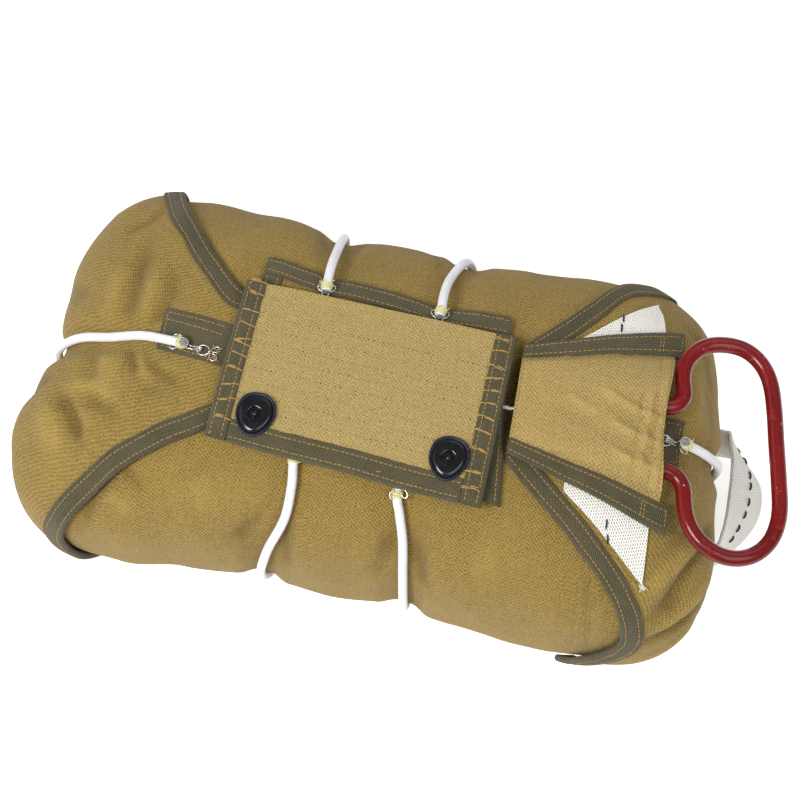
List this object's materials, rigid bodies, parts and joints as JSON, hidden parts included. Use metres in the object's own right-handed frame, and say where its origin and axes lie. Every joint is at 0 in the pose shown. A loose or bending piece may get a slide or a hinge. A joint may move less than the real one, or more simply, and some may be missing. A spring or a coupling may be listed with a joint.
{
  "type": "packed parachute",
  "caption": "Chest type reserve parachute, packed: canvas container folded round its canopy, held shut by elastic cords, with a ripcord handle in its pocket.",
  "frame": {"origin": "middle of the pack's flat back, which it lies on", "axes": "+X along the pack to the ripcord handle, +Y across the pack, +Z out of its front"},
  "size_m": [0.4197, 0.216, 0.1385],
  "materials": {
    "canvas": "coarse khaki canvas",
    "flap_canvas": "coarse khaki canvas",
    "olive_tape": "woven binding tape",
    "cream_webbing": "woven cotton webbing",
    "white_elastic": "braided elastic",
    "yellow_thread": "wound thread",
    "bright_wire": "plated wire",
    "cable_steel": "stranded steel",
    "red_enamel": "gloss enamel",
    "black_enamel": "gloss enamel"
  },
  "bodies": {
    "pack": {"carrying_loop": "cream_webbing", "centre_flap": "flap_canvas", "centre_flap_bottom_tape": "olive_tape", "centre_flap_left_tape": "olive_tape", "centre_flap_right_tape": "olive_tape", "inner_panel": "canvas", "inner_panel_left_tape": "olive_tape", "inner_panel_right_tape": "olive_tape", "inner_panel_top_tape": "olive_tape", "left_cross_bottom_hook": "bright_wire", "left_cross_bottom_whipping": "yellow_thread", "left_cross_cord": "white_elastic", "left_cross_top_hook": "bright_wire", "left_cross_top_whipping": "yellow_thread", "left_end_flap": "flap_canvas", "left_eye": "bright_wire", "left_flap_lower_binding": "olive_tape", "left_flap_upper_binding": "olive_tape", "left_snap_socket": "black_enamel", "left_snap_stud": "black_enamel", "left_tab": "olive_tape", "lengthwise_cord": "white_elastic", "lengthwise_left_hook": "bright_wire", "lengthwise_left_whipping": "yellow_thread", "lengthwise_right_hook": "bright_wire", "lengthwise_right_whipping": "yellow_thread", "packed_body": "canvas", "pocket_lower_tape": "olive_tape", "pocket_upper_tape": "olive_tape", "reinforcing_webbing": "cream_webbing", "right_cross_bottom_hook": "bright_wire", "right_cross_bottom_whipping": "yellow_thread", "right_cross_cord": "white_elastic", "right_cross_top_hook": "bright_wire", "right_cross_top_whipping": "yellow_thread", "right_end_flap": "flap_canvas", "right_eye": "bright_wire", "right_flap_lower_binding": "olive_tape", "right_flap_upper_binding": "olive_tape", "right_snap_socket": "black_enamel", "right_snap_stud": "black_enamel", "right_tab": "olive_tape", "ripcord_pocket": "flap_canvas"},
    "ripcord": {"ripcord_cable": "cable_steel", "ripcord_handle": "red_enamel"}
  },
  "joints": [
    {"name": "handle_pull", "type": "slide", "parent": "pack", "child": "ripcord", "axis": [0.9945, 0, -0.1045], "range_m": [0, 0.02]}
  ]
}
